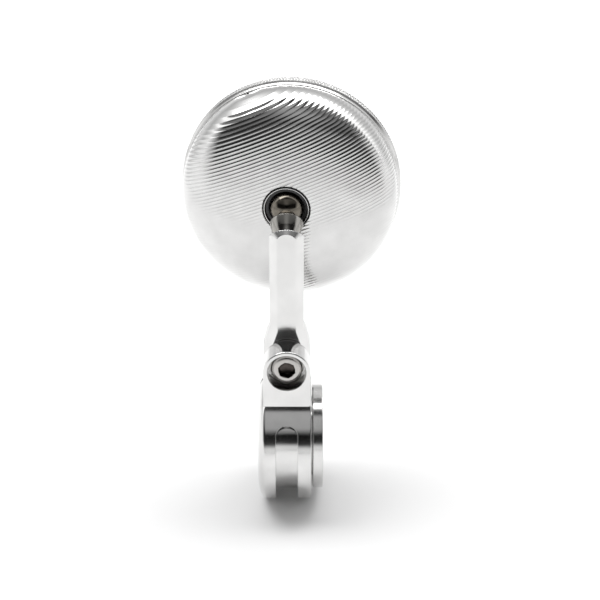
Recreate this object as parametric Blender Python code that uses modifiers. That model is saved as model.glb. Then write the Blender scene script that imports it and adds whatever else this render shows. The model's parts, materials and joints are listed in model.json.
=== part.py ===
"""Round bar-end mirror: split clamp, swinging arm, ball joint and convex mirror head.

Frame: the origin is the centre of the handlebar bore. +X runs along the bar towards the
sleeve's flange, +Z up along the arm, and +Y from the back of the mirror to its glass.
Driving sizes are in millimetres and become metres where a shape is made.
"""
import bpy
import bmesh
from math import atan2, cos, pi, radians, sin, sqrt
from mathutils import Matrix, Vector

MM = 0.001
ROUND = 48                 # segments of a large turned piece
SMALL = 24                 # segments of a small turned piece

# Clamp and reducing sleeve, turned about X
RING_RADIUS = 20.6
RING_LEFT, RING_RIGHT = -9.3, 7.8
RING_BORE = 13.2
LEFT_ROUND = 2.6           # length of the elliptical round-over on the left end
GROOVE_WIDTH, GROOVE_FLOOR = 7.0, 17.1
GROOVE_TOP = 10.3          # height at which the groove's round ends are centred
BAR_BORE = 11.1            # takes a 22.2 mm bar
SLEEVE_RADIUS = 12.9
FLANGE_RADIUS = 17.0
FLANGE_LEFT, FLANGE_RIGHT = 8.1, 11.5
SLIT = 1.6

# Clevis and pinch bolt, along Y
BOLT_Z = 29.4
EAR_HALF = 7.45
EAR_FRONT, EAR_BACK = -11.0, 15.7
SLOT_FRONT, SLOT_BACK = -2.9, 8.1
SLOT_FLOOR = 21.4
COUNTERBORE, COUNTERBORE_FLOOR = 6.1, -4.6
WASHER_THICK = 0.6
HEAD_RADIUS, HEAD_HEIGHT = 5.0, 3.7
SHANK_RADIUS = 2.95
INSERT_RADIUS = 4.1

# Arm: a square bar with flat corners
ARM_HALF = 5.35
ARM_FRONT, ARM_BACK = -2.3, 7.5
ARM_TOP = 73.7
ARM_CORNER = 2.4
FLARE_TOP, FLARE_FOOT = 39.9, 33.4

# Ball joint
BALL = Vector((0.0, 13.4, 75.4))
BALL_RADIUS = 5.6
STUD_RISE = radians(28)    # climb of the stud towards the mirror
COLLAR_RADIUS = 5.2
COLLAR_NEAR, COLLAR_FAR = 11.35, 6.4
CONE_LENGTH, CONE_FOOT = 2.16, 3.3
STUD_END, STUD_DEPTH = 2.2, 1.9        # end that is fixed in the arm
LINER_GAP = 0.15
LINER_THICK = 0.4

# Mirror head, turned about its own axis; heights are measured from the ball's centre
HEAD_TURN = radians(-4)
DOME_RADIUS, DOME_DEPTH, DOME_POWER = 34.6, 16.0, 2.5
HOLE_RADIUS = 7.45
HOLE_HEIGHT = -2.0
WALL = 2.2
SOCKET_RADIUS = 8.6
BOSS_RADIUS = 12.2
BOSS_TOP = 9.0
JOINT_HEIGHT = 16.2        # where the bezel meets the dome
SPIGOT_RADIUS, SPIGOT_BORE = 32.05, 30.6
SPIGOT_TOP = 20.3
LEDGE_HEIGHT = 17.2
GLASS_RADIUS = 30.3
BEZEL_RADIUS = 35.5
BEZEL_TOP = 22.2
BEZEL_LIP = 29.4

DOME_BASE = HOLE_HEIGHT + DOME_DEPTH * (1 - (HOLE_RADIUS / DOME_RADIUS) ** DOME_POWER) ** (1 / DOME_POWER)

ALONG_X = Matrix.Rotation(pi / 2, 4, "Y")        # turned pieces' own Z becomes X
ALONG_Y = Matrix.Rotation(-pi / 2, 4, "X")       # turned pieces' own Z becomes Y
BOLT = Matrix.Translation((0, 0, BOLT_Z * MM)) @ ALONG_Y
STUD = Matrix.Translation(BALL * MM) @ Matrix.Rotation(STUD_RISE - pi / 2, 4, "X")
HEAD = Matrix.Translation(BALL * MM) @ Matrix.Rotation(HEAD_TURN, 4, "Z") @ ALONG_Y


# ---------------------------------------------------------------- scene helpers

def clear_scene():
    for item in list(bpy.data.objects):
        bpy.data.objects.remove(item, do_unlink=True)


def collection(name):
    group = bpy.data.collections.new(name)
    bpy.context.scene.collection.children.link(group)
    return group


def material(name, colour, metallic, roughness):
    made = bpy.data.materials.new(name)
    made.use_nodes = True
    shader = made.node_tree.nodes["Principled BSDF"]
    shader.inputs["Base Color"].default_value = (*colour, 1)
    shader.inputs["Metallic"].default_value = metallic
    shader.inputs["Roughness"].default_value = roughness
    made.diffuse_color = (*colour, 1)
    return made


def place(item, matrix, group, smooth=True):
    group.objects.link(item)
    item.matrix_world = matrix
    for face in item.data.polygons:
        face.use_smooth = smooth
    return item


def as_part(item, surface):
    item.data.materials.append(surface)
    return item


def as_cutter(item):
    item.hide_render = True
    item.display_type = "WIRE"
    return item


def mesh_object(name, bm):
    mesh = bpy.data.meshes.new(name)
    bm.to_mesh(mesh)
    bm.free()
    return bpy.data.objects.new(name, mesh)


def cut(item, *cutters, operation="DIFFERENCE"):
    for cutter in cutters:
        step = item.modifiers.new(f"{operation.lower()}_{cutter.name}", "BOOLEAN")
        step.operation = operation
        step.object = cutter
        step.solver = "EXACT"


def bevel(item, width, angle=40, segments=1):
    step = item.modifiers.new("edge", "BEVEL")
    step.width = width * MM
    step.segments = segments
    step.limit_method = "ANGLE"
    step.angle_limit = radians(angle)


# ---------------------------------------------------------------- shape helpers

def lathe(name, profile, matrix, group, segments=ROUND, ring=False):
    """Turn a profile of (radius, height) points, listed down its outer side.

    A ring's profile is a closed loop that comes back up its inner side.
    """
    bm = bmesh.new()
    points = [bm.verts.new((r * MM, 0, h * MM)) for r, h in profile]
    pairs = list(zip(points, points[1:]))
    if ring:
        pairs.append((points[-1], points[0]))
    for pair in pairs:
        bm.edges.new(pair)
    item = mesh_object(name, bm)
    step = item.modifiers.new("turn", "SCREW")
    step.axis = "Z"
    step.angle = 2 * pi
    step.steps = step.render_steps = segments
    step.use_merge_vertices = True
    step.merge_threshold = 0.00001
    step.use_smooth_shade = True
    return place(item, matrix, group)


def frozen(item):
    """The mesh that an object shows, welded, in place of its curve or modifiers."""
    bpy.context.view_layer.update()
    mesh = bpy.data.meshes.new_from_object(item.evaluated_get(bpy.context.evaluated_depsgraph_get()))
    bm = bmesh.new()
    bm.from_mesh(mesh)
    bmesh.ops.remove_doubles(bm, verts=bm.verts, dist=0.00001)
    bmesh.ops.dissolve_limit(bm, angle_limit=0.001, verts=bm.verts, edges=bm.edges)
    bm.to_mesh(mesh)
    bm.free()
    return mesh


def extrude(name, outline, low, high, matrix, group):
    """A flat outline of (x, y) points made solid from height low to high."""
    curve = bpy.data.curves.new(name, "CURVE")
    curve.dimensions = "2D"
    curve.fill_mode = "BOTH"
    curve.extrude = (high - low) / 2 * MM
    spline = curve.splines.new("POLY")
    spline.points.add(len(outline) - 1)
    for point, (x, y) in zip(spline.points, outline):
        point.co = (x * MM, y * MM, 0, 1)
    spline.use_cyclic_u = True
    flat = bpy.data.objects.new(name, curve)
    group.objects.link(flat)
    mesh = frozen(flat)
    mesh.transform(Matrix.Translation((0, 0, (low + high) / 2 * MM)))
    bpy.data.objects.remove(flat)
    return place(bpy.data.objects.new(name, mesh), matrix, group, smooth=False)


def rod(name, radius, low, high, matrix, group, segments=SMALL):
    return lathe(name, [(0, high), (radius, high), (radius, low), (0, low)], matrix, group, segments)


def tube(name, inner, outer, low, high, matrix, group, segments=SMALL, edge=0.0):
    """A ring of square section, with its outer edges broken by a small chamfer."""
    outside = [(outer, high), (outer, low)]
    if edge:
        outside = [(outer - edge, high), (outer, high - edge), (outer, low + edge), (outer - edge, low)]
    return lathe(name, outside + [(inner, low), (inner, high)], matrix, group, segments, ring=True)


def box(name, low, high, group, matrix=Matrix.Identity(4)):
    bm = bmesh.new()
    bmesh.ops.create_cube(bm, size=1)
    for vert in bm.verts:
        vert.co = [(a + b + (b - a) * 2 * c) / 2 * MM for a, b, c in zip(low, high, vert.co)]
    return place(mesh_object(name, bm), matrix, group, smooth=False)


def arc(centre, radius, start, end, steps):
    """Points on an arc, angles in degrees."""
    turns = [radians(start + (end - start) * i / steps) for i in range(steps + 1)]
    return [(centre[0] + radius * cos(t), centre[1] + radius * sin(t)) for t in turns]


def axial(x, y, z):
    """A world point in millimetres as the matrix of an upright frame there."""
    return Matrix.Translation(Vector((x, y, z)) * MM)


# ---------------------------------------------------------------- clamp

def make_clamp_body(group, cutters, surface):
    """Split ring with its clevis ears, milled groove and counterbored bolt hole."""
    left = [(RING_RADIUS + (RING_RADIUS - 14.4) * (sin(t) - 1), RING_LEFT + LEFT_ROUND * (1 - cos(t)))
            for t in (radians(a) for a in (90, 72, 54, 36, 18, 0))]
    profile = [(RING_RADIUS - 0.6, RING_RIGHT), (RING_RADIUS, RING_RIGHT - 0.6)]
    profile += left + [(RING_BORE + 0.4, RING_LEFT), (RING_BORE, RING_LEFT + 0.4), (RING_BORE, RING_RIGHT)]
    body = lathe("clamp_body", profile, ALONG_X, group, 72, ring=True)

    outline = [(-EAR_HALF, 12), (EAR_HALF, 12)] + arc((0, BOLT_Z), EAR_HALF, 0, 180, 24)
    upright = Matrix.Rotation(pi / 2, 4, "X")            # outline's second axis becomes Z
    ears = extrude("ear_block", outline, -EAR_BACK, -EAR_FRONT, upright, cutters)
    bevel(ears, 0.5)
    hollow = rod("ear_hollow", RING_BORE + 1.5, -12, 12, ALONG_X, cutters, 48)
    cut(ears, hollow)
    cut(body, as_cutter(ears), operation="UNION")
    as_cutter(hollow)

    slot = box("arm_slot", (-12, SLOT_FRONT, SLOT_FLOOR), (12, SLOT_BACK, 40), cutters)
    middle = (ARM_FRONT + ARM_BACK) / 2
    slit = box("ring_slit", (-12, middle - SLIT / 2, 5), (12, middle + SLIT / 2, 30), cutters)

    groove = tube("groove", GROOVE_FLOOR, 23, -GROOVE_WIDTH / 2, GROOVE_WIDTH / 2, ALONG_X, cutters, 72)
    lid = box("groove_lid", (-6, -25, GROOVE_TOP), (6, 25, 26), cutters)
    cut(groove, as_cutter(lid))
    climb = sqrt(1 - (GROOVE_TOP / RING_RADIUS) ** 2)
    ends = []
    for side in (-1, 1):
        outward = Vector((0, side * climb, GROOVE_TOP / RING_RADIUS))
        turn = outward.to_track_quat("Z", "X").to_matrix().to_4x4()
        ends.append(rod(f"groove_end_{side + 1}", GROOVE_WIDTH / 2, GROOVE_FLOOR, 24, turn, cutters))

    insert = INSERT_RADIUS + 0.25
    bolt_bore = lathe("bolt_bore", [(0, 18), (insert, 18), (insert, 5), (3.3, 5), (3.3, COUNTERBORE_FLOOR),
                                    (COUNTERBORE, COUNTERBORE_FLOOR), (COUNTERBORE, EAR_FRONT + 0.45),
                                    (COUNTERBORE + 0.9, EAR_FRONT - 0.45), (0, EAR_FRONT - 0.45)],
                      BOLT, cutters, 36)
    for cutter in (bolt_bore, slot, slit, groove, *ends):
        cut(body, as_cutter(cutter))
    return as_part(body, surface)


def make_sleeve(group, cutters, surface):
    """Flanged reducing sleeve, split underneath so that it can close on the bar."""
    edge = 0.4
    profile = [(FLANGE_RADIUS - edge, FLANGE_RIGHT), (FLANGE_RADIUS, FLANGE_RIGHT - edge),
               (FLANGE_RADIUS, FLANGE_LEFT + edge), (FLANGE_RADIUS - edge, FLANGE_LEFT),
               (SLEEVE_RADIUS, FLANGE_LEFT), (SLEEVE_RADIUS, -8.6), (BAR_BORE, -8.6),
               (BAR_BORE, FLANGE_RIGHT - edge), (BAR_BORE + edge, FLANGE_RIGHT)]
    sleeve = lathe("reducing_sleeve", profile, ALONG_X, group, 56, ring=True)
    slit = box("sleeve_slit", (-12, -SLIT / 2, -20), (14, SLIT / 2, -9), cutters,
               Matrix.Rotation(radians(25), 4, "X"))
    cut(sleeve, as_cutter(slit))
    return as_part(sleeve, surface)


def make_bolt(group, cutters, surface):
    """Low socket-head cap screw: its head faces the back of the mirror."""
    head_low = COUNTERBORE_FLOOR - WASHER_THICK - 0.2
    head_top = head_low - HEAD_HEIGHT
    profile = [(0, 14.9), (SHANK_RADIUS - 0.5, 14.9), (SHANK_RADIUS, 14.4), (SHANK_RADIUS, head_low),
               (HEAD_RADIUS, head_low), (HEAD_RADIUS, head_top + 0.4), (HEAD_RADIUS - 0.4, head_top),
               (0, head_top)]
    bolt = lathe("pinch_bolt", profile, BOLT, group, 32)
    across = 5.0 / sqrt(3)
    corners = [(across * cos(radians(a)), across * sin(radians(a))) for a in range(18, 378, 60)]
    socket = extrude("hex_socket", corners, head_top - 1, head_top + 2.4, BOLT, cutters)
    cut(bolt, as_cutter(socket))
    return as_part(bolt, surface)


def make_bolt_washer(group, surface):
    low = COUNTERBORE_FLOOR - WASHER_THICK - 0.1
    return as_part(tube("bolt_washer", 3.3, 5.6, low, low + WASHER_THICK, BOLT, group), surface)


def make_thread_insert(group, surface):
    insert = tube("thread_insert", SHANK_RADIUS + 0.25, INSERT_RADIUS, SLOT_BACK + 0.3, EAR_BACK - 0.3,
                  BOLT, group)
    return as_part(insert, surface)


def make_friction_washer(name, low, group, surface):
    return as_part(tube(name, 4.5, 6.9, low, low + 0.4, BOLT, group), surface)


# ---------------------------------------------------------------- arm and ball stud

def make_arm(group, cutters, surface):
    """Square bar with flat corners, its eye around the pinch bolt and a seat for the stud."""
    foot, flare, top = FLARE_FOOT - BOLT_Z, FLARE_TOP - BOLT_Z, ARM_TOP - BOLT_Z
    outline = arc((0, 0), EAR_HALF, 180, 360, 24)
    outline += [(EAR_HALF, foot), (ARM_HALF, flare), (ARM_HALF, top - 1.4), (ARM_HALF - 1.4, top)]
    outline += [(-x, z) for x, z in reversed(outline[-4:])]
    stand = Matrix.Translation((0, 0, BOLT_Z * MM)) @ Matrix.Rotation(pi / 2, 4, "X")
    arm = extrude("arm", outline, -ARM_BACK, -ARM_FRONT, stand, group)
    bevel(arm, ARM_CORNER, angle=60)
    eye = rod("eye_bore", 4.45, -14, 14, BOLT, cutters)
    seat = -(COLLAR_NEAR + CONE_LENGTH)
    wide = ARM_HALF + 0.85                               # the seat runs out of the arm's top and sides
    pocket = extrude("stud_seat", arc((0, 0), wide, 0, 180, 16) + [(-wide, -14), (wide, -14)], seat, 2,
                     STUD, cutters)
    stud_hole = rod("stud_hole", STUD_END + 0.3, seat - STUD_DEPTH - 0.3, 0, STUD, cutters)
    for cutter in (eye, pocket, stud_hole):
        cut(arm, as_cutter(cutter))
    return as_part(arm, surface)


def make_pivot_bush(group, surface):
    bush = tube("pivot_bush", 3.25, 4.2, ARM_FRONT + 0.1, ARM_BACK - 0.1, BOLT, group)
    return as_part(bush, surface)


def make_ball_stud(group, surface):
    """Ball, turned collar with a conical foot, and a short threaded end, in one piece."""
    neck = 3.0
    meet = -sqrt(BALL_RADIUS ** 2 - neck ** 2)
    cap = [(BALL_RADIUS * sin(radians(a)), BALL_RADIUS * cos(radians(a))) for a in range(0, 150, 12)]
    cap = [p for p in cap if p[1] > meet + 0.2]
    foot = -(COLLAR_NEAR + CONE_LENGTH)
    profile = cap + [(neck, meet), (neck, -COLLAR_FAR + 0.3), (COLLAR_RADIUS - 0.4, -COLLAR_FAR),
                     (COLLAR_RADIUS, -COLLAR_FAR - 0.4), (COLLAR_RADIUS, -COLLAR_NEAR),
                     (CONE_FOOT, foot + 0.2), (STUD_END, foot + 0.2), (STUD_END, foot - STUD_DEPTH),
                     (0, foot - STUD_DEPTH)]
    return as_part(lathe("ball_stud", profile, STUD, group, 36), surface)


def shell(name, inner, thick, start, end, group, surface, steps=4):
    """Part of a hollow sphere about the ball's centre, between two angles from the head's axis."""
    turns = [radians(start + (end - start) * i / steps) for i in range(steps + 1)]
    outside = [((inner + thick) * sin(t), (inner + thick) * cos(t)) for t in turns]
    inside = [(inner * sin(t), inner * cos(t)) for t in reversed(turns)]
    return as_part(lathe(name, outside + inside, HEAD, group, 28, ring=True), surface)


# ---------------------------------------------------------------- mirror head

def dome_height(radius):
    """Height of the dome's outer skin at a distance from its axis."""
    rest = max(0.0, 1 - (radius / DOME_RADIUS) ** DOME_POWER)
    return DOME_BASE - DOME_DEPTH * rest ** (1 / DOME_POWER)


def make_housing(group, cutters, surface):
    """Deep domed shell with a tubular boss round the ball socket, open towards the glass."""
    sweep = [radians(a) for a in (0, 9, 18, 27, 36, 45, 54, 62, 69)]
    skin = []
    for t in sweep:                                  # superellipse from the side to the hole
        radius = DOME_RADIUS * cos(t) ** (2 / DOME_POWER)
        skin.append((radius, dome_height(radius)))
    skin = [p for p in skin if p[0] > HOLE_RADIUS + 2]
    skin += [(HOLE_RADIUS + 0.3, dome_height(HOLE_RADIUS + 0.3)), (HOLE_RADIUS, HOLE_HEIGHT + 0.3)]
    inside = [(r - WALL, dome_height(r - WALL) + WALL + 0.35) for r in (33.3, 32.4, 30.6, 27.5, 23.5, 19.0)]
    inner_side = inside[0][0]
    profile = [(SPIGOT_BORE, SPIGOT_TOP), (SPIGOT_RADIUS, SPIGOT_TOP), (SPIGOT_RADIUS, JOINT_HEIGHT),
               (DOME_RADIUS - 0.4, JOINT_HEIGHT), (DOME_RADIUS, JOINT_HEIGHT - 0.4)]
    profile += skin
    profile += [(HOLE_RADIUS, -0.7), (SOCKET_RADIUS, -0.7), (SOCKET_RADIUS, BOSS_TOP), (BOSS_RADIUS, BOSS_TOP),
                (BOSS_RADIUS, dome_height(BOSS_RADIUS) + WALL + 0.3)]
    profile += reversed(inside)
    profile += [(inner_side, LEDGE_HEIGHT - 3), (28.4, LEDGE_HEIGHT - 1.2), (28.4, LEDGE_HEIGHT),
                (SPIGOT_BORE, LEDGE_HEIGHT)]
    housing = lathe("mirror_housing", profile, HEAD, group, 56, ring=True)
    for i, spot in enumerate(plate_screw_spots()):
        hole = rod(f"screw_hole_{i}", 0.85, BOSS_TOP - 5, BOSS_TOP + 1, HEAD @ spot, cutters, 10)
        cut(housing, as_cutter(hole))
    return as_part(housing, surface)


def plate_screw_spots():
    return [Matrix.Rotation(2 * pi * i / 3 + pi / 6, 4, "Z") @ axial(10.4, 0, 0) for i in range(3)]


def make_seat_ring(group, surface):
    """Dark ring in the dome's hole: its lip is the front half of the ball's socket."""
    hollow = BALL_RADIUS + LINER_GAP
    mouth = [(sqrt(hollow ** 2 - h ** 2), h) for h in (-1.0, -0.5, 0.0, 0.6)]
    profile = [(8.35, 0.6), (8.35, -0.5), (7.2, -0.5), (7.2, HOLE_HEIGHT), (6.9, HOLE_HEIGHT),
               (6.7, HOLE_HEIGHT + 0.2), (6.5, -1.0)] + mouth
    return as_part(lathe("seat_ring", profile, HEAD, group, 36, ring=True), surface)


def make_pressure_cup(group, surface):
    """Steel cup pushed by the spring: holds the ball against the seat ring."""
    hollow = BALL_RADIUS + 3 * LINER_GAP + 2 * LINER_THICK
    turns = [radians(a) for a in (22, 40, 58, 78)]
    profile = [(8.3, 7.3), (8.3, hollow * cos(turns[-1]))]
    profile += [(hollow * sin(t), hollow * cos(t)) for t in reversed(turns)]
    profile += [(hollow * sin(turns[0]), 7.3)]
    return as_part(lathe("pressure_cup", profile, HEAD, group, 32, ring=True), surface)


def make_preload_spring(group, surface):
    """Wave washer: a flat ring whose height follows three waves round its axis."""
    flat = tube("flat_ring", 5.4, 8.1, 7.95, 8.3, HEAD, group, 36)
    mesh = frozen(flat)
    for vert in mesh.vertices:
        vert.co.z += 0.35 * MM * sin(3 * atan2(vert.co.y, vert.co.x))
    bpy.data.objects.remove(flat)
    return as_part(place(bpy.data.objects.new("preload_spring", mesh), HEAD, group, smooth=False), surface)


def make_retainer_plate(group, cutters, surface):
    plate = rod("retainer_plate", BOSS_RADIUS - 0.1, BOSS_TOP + 0.1, BOSS_TOP + 1.5, HEAD, group, 36)
    for i, spot in enumerate(plate_screw_spots()):
        hole = rod(f"plate_hole_{i}", 1.15, BOSS_TOP - 1, BOSS_TOP + 3, HEAD @ spot, cutters, 10)
        cut(plate, as_cutter(hole))
    return as_part(plate, surface)


def make_plate_screws(group, surface):
    """Three small screws that hold the retainer plate to the boss."""
    head_low, head_top, tip = BOSS_TOP + 1.6, BOSS_TOP + 2.6, BOSS_TOP - 4
    profile = [(0, head_top), (1.5, head_top), (1.75, head_top - 0.25), (1.75, head_low), (0.65, head_low),
               (0.65, tip), (0, tip)]
    for i, spot in enumerate(plate_screw_spots()):
        as_part(lathe(f"plate_screw_{i + 1}", profile, HEAD @ spot, group, 12), surface)


def make_glass_stack(group, surfaces):
    """Tray, adhesive pad and convex glass, from the housing's ledge towards the viewer."""
    low = LEDGE_HEIGHT + 0.1
    tray = rod("glass_tray", GLASS_RADIUS, low, low + 0.9, HEAD, group)
    pad = rod("adhesive_pad", GLASS_RADIUS - 0.8, low + 1.0, low + 1.5, HEAD, group)
    back = low + 1.6
    bulge = [(GLASS_RADIUS * k / 4, back + 1.6 + 0.38 * (1 - (k / 4) ** 2)) for k in range(5)]
    glass = lathe("mirror_glass", bulge + [(GLASS_RADIUS, back), (0, back)], HEAD, group)
    edge = back + 1.75
    gasket = lathe("glass_gasket", [(30.2, edge + 0.45), (30.2, edge), (29.5, edge), (29.5, edge + 0.45)],
                   HEAD, group, ring=True)
    for item, surface in zip((tray, pad, glass, gasket), surfaces):
        as_part(item, surface)


def make_bezel(group, surface):
    """Threaded bezel ring: a smooth lip next to the dome, then the band for the fingers."""
    step = 17.6
    profile = [(BEZEL_RADIUS - 1.4, BEZEL_TOP), (BEZEL_RADIUS - 0.5, BEZEL_TOP - 0.3),
               (BEZEL_RADIUS, BEZEL_TOP - 0.9), (BEZEL_RADIUS, step + 0.5), (BEZEL_RADIUS - 0.6, step),
               (BEZEL_RADIUS - 0.7, JOINT_HEIGHT + 0.4), (BEZEL_RADIUS - 1.0, JOINT_HEIGHT + 0.15),
               (SPIGOT_RADIUS + 0.3, JOINT_HEIGHT + 0.15), (SPIGOT_RADIUS + 0.3, SPIGOT_TOP + 0.7),
               (30.5, SPIGOT_TOP + 0.7), (30.5, BEZEL_TOP - 0.75), (BEZEL_LIP, BEZEL_TOP - 0.75),
               (BEZEL_LIP, BEZEL_TOP - 0.3), (BEZEL_LIP + 0.6, BEZEL_TOP)]
    return as_part(lathe("bezel", profile, HEAD, group, 64, ring=True), surface)


# ---------------------------------------------------------------- assembly

def hang(names, pivot_name, matrix, group):
    """Parent pieces to an empty that stands on their joint's axis."""
    pivot = bpy.data.objects.new(pivot_name, None)
    group.objects.link(pivot)
    pivot.matrix_world = matrix
    bpy.context.view_layer.update()
    for name in names:
        item = bpy.data.objects[name]
        keep = item.matrix_world.copy()
        item.parent = pivot
        item.matrix_parent_inverse = matrix.inverted()
        item.matrix_world = keep


def main():
    clear_scene()
    group, cutters = collection("bar_end_mirror"), collection("cutters")

    clamp_alloy = material("clamp_aluminium", (0.80, 0.80, 0.79), 1.0, 0.28)
    arm_alloy = material("arm_aluminium", (0.82, 0.82, 0.81), 1.0, 0.30)
    sleeve_alloy = material("sleeve_aluminium", (0.78, 0.78, 0.77), 1.0, 0.30)
    dome_alloy = material("dome_aluminium", (0.83, 0.83, 0.82), 1.0, 0.24)
    bezel_alloy = material("bezel_aluminium", (0.80, 0.80, 0.79), 1.0, 0.30)
    bolt_steel = material("bolt_steel", (0.56, 0.55, 0.53), 1.0, 0.30)
    washer_steel = material("washer_steel", (0.52, 0.51, 0.50), 1.0, 0.35)
    insert_steel = material("insert_steel", (0.58, 0.57, 0.55), 1.0, 0.35)
    stud_steel = material("stud_steel", (0.30, 0.29, 0.28), 1.0, 0.22)
    cup_steel = material("cup_steel", (0.55, 0.54, 0.53), 1.0, 0.35)
    spring_steel = material("spring_steel", (0.45, 0.44, 0.43), 1.0, 0.30)
    plate_steel = material("plate_steel", (0.60, 0.60, 0.59), 1.0, 0.40)
    screw_steel = material("screw_steel", (0.40, 0.40, 0.40), 1.0, 0.35)
    bronze = material("bush_bronze", (0.62, 0.43, 0.20), 1.0, 0.40)
    black_acetal = material("seat_acetal", (0.02, 0.02, 0.02), 0.0, 0.35)
    front_nylon = material("front_washer_nylon", (0.03, 0.03, 0.03), 0.0, 0.50)
    rear_nylon = material("rear_washer_nylon", (0.03, 0.03, 0.03), 0.0, 0.50)
    white_ptfe = material("liner_ptfe", (0.85, 0.84, 0.80), 0.0, 0.45)
    cup_ptfe = material("cup_liner_ptfe", (0.80, 0.78, 0.70), 0.0, 0.45)
    tray_plastic = material("tray_plastic", (0.04, 0.04, 0.04), 0.0, 0.55)
    foam = material("adhesive_foam", (0.10, 0.10, 0.10), 0.0, 0.90)
    mirror = material("mirror_glass", (0.90, 0.92, 0.93), 1.0, 0.03)
    rubber = material("gasket_rubber", (0.02, 0.02, 0.02), 0.0, 0.70)

    make_clamp_body(group, cutters, clamp_alloy)
    make_sleeve(group, cutters, sleeve_alloy)
    make_bolt(group, cutters, bolt_steel)
    make_bolt_washer(group, washer_steel)
    make_thread_insert(group, insert_steel)
    make_friction_washer("front_friction_washer", SLOT_FRONT + 0.1, group, front_nylon)
    make_friction_washer("rear_friction_washer", ARM_BACK + 0.1, group, rear_nylon)

    make_arm(group, cutters, arm_alloy)
    make_pivot_bush(group, bronze)
    make_ball_stud(group, stud_steel)

    inner = BALL_RADIUS + LINER_GAP
    shell("ball_liner", inner, LINER_THICK, 18, 40, group, white_ptfe)
    shell("cup_liner", inner + LINER_THICK + LINER_GAP, LINER_THICK, 20, 60, group, cup_ptfe)

    make_housing(group, cutters, dome_alloy)
    make_seat_ring(group, black_acetal)
    make_pressure_cup(group, cup_steel)
    make_preload_spring(group, spring_steel)
    make_retainer_plate(group, cutters, plate_steel)
    make_plate_screws(group, screw_steel)
    make_glass_stack(group, (tray_plastic, foam, mirror, rubber))
    make_bezel(group, bezel_alloy)

    hang(("arm", "pivot_bush", "ball_stud"), "arm_pivot", BOLT, group)
    hang(("ball_liner",), "pan_pivot", axial(*BALL), group)
    hang(("cup_liner",), "tilt_pivot", axial(*BALL), group)
    hang(("mirror_housing", "seat_ring", "pressure_cup", "preload_spring", "retainer_plate",
          "plate_screw_1", "plate_screw_2", "plate_screw_3", "glass_tray", "adhesive_pad", "mirror_glass",
          "glass_gasket", "bezel"), "head_pivot", HEAD, group)


main()
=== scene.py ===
"""Looks of a bar-end bicycle mirror: scalloped, knurled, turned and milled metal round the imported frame.

Named lengths are in millimetres. Places come from the frame's joints and boxes.
"""
import json
from math import asin, atan2, cos, degrees, floor, pi, radians, sin, sqrt
import bpy
import bmesh
from mathutils import Matrix, Vector


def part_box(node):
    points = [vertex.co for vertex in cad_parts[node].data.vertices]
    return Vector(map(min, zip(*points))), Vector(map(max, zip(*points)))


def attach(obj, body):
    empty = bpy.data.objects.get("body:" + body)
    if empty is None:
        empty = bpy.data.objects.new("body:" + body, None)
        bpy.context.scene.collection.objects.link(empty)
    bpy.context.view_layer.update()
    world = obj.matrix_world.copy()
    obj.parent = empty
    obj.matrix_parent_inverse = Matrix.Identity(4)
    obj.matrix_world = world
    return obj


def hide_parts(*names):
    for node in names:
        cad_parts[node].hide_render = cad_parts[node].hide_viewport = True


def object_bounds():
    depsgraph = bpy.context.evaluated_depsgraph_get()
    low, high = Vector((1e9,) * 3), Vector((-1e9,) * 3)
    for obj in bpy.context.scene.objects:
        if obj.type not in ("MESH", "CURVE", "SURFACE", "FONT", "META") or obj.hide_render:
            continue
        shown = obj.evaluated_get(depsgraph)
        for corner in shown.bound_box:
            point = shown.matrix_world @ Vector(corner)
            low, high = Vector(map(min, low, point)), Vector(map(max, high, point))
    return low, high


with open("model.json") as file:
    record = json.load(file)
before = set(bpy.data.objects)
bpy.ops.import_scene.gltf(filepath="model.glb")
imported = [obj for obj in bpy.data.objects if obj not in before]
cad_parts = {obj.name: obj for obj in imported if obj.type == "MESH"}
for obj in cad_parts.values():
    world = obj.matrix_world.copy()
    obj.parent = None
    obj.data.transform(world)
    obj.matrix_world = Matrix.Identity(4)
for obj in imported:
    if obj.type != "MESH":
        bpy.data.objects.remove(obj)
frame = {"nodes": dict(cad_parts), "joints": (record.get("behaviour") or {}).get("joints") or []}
CAD_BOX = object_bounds()

MM = 0.001
WELD = 0.000002            # points nearer than this are one, in metres
FINE = 192                 # segments of a large turned piece
MEDIUM = 96                # segments of a small one

JOINTS = {j["name"]: j for j in frame["joints"]}
BALL = Vector(JOINTS["head_spin"]["pos_m"])
HEAD_AXIS = Vector(JOINTS["head_spin"]["axis"])
BOLT_Z = JOINTS["arm_swing"]["pos_m"][2] / MM
STUD_RISE = radians(28)

ALONG_X = Matrix.Rotation(pi / 2, 4, "Y")
ALONG_Y = Matrix.Rotation(-pi / 2, 4, "X")
SIDE_VIEW = Matrix(((0, 0, 1, 0), (1, 0, 0, 0), (0, 1, 0, 0), (0, 0, 0, 1)))     # outline in y and z
BOLT = Matrix.Translation((0, 0, BOLT_Z * MM)) @ ALONG_Y
STUD = Matrix.Translation(BALL) @ Matrix.Rotation(STUD_RISE - pi / 2, 4, "X")
HEAD = Matrix.Translation(BALL) @ Matrix.Rotation(atan2(-HEAD_AXIS.x, HEAD_AXIS.y), 4, "Z") @ ALONG_Y


def span(node, axis):
    """Where a CAD node starts and ends along x (0), y (1) or z (2), in millimetres."""
    low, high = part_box(node)
    return low[axis] / MM, high[axis] / MM


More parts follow.
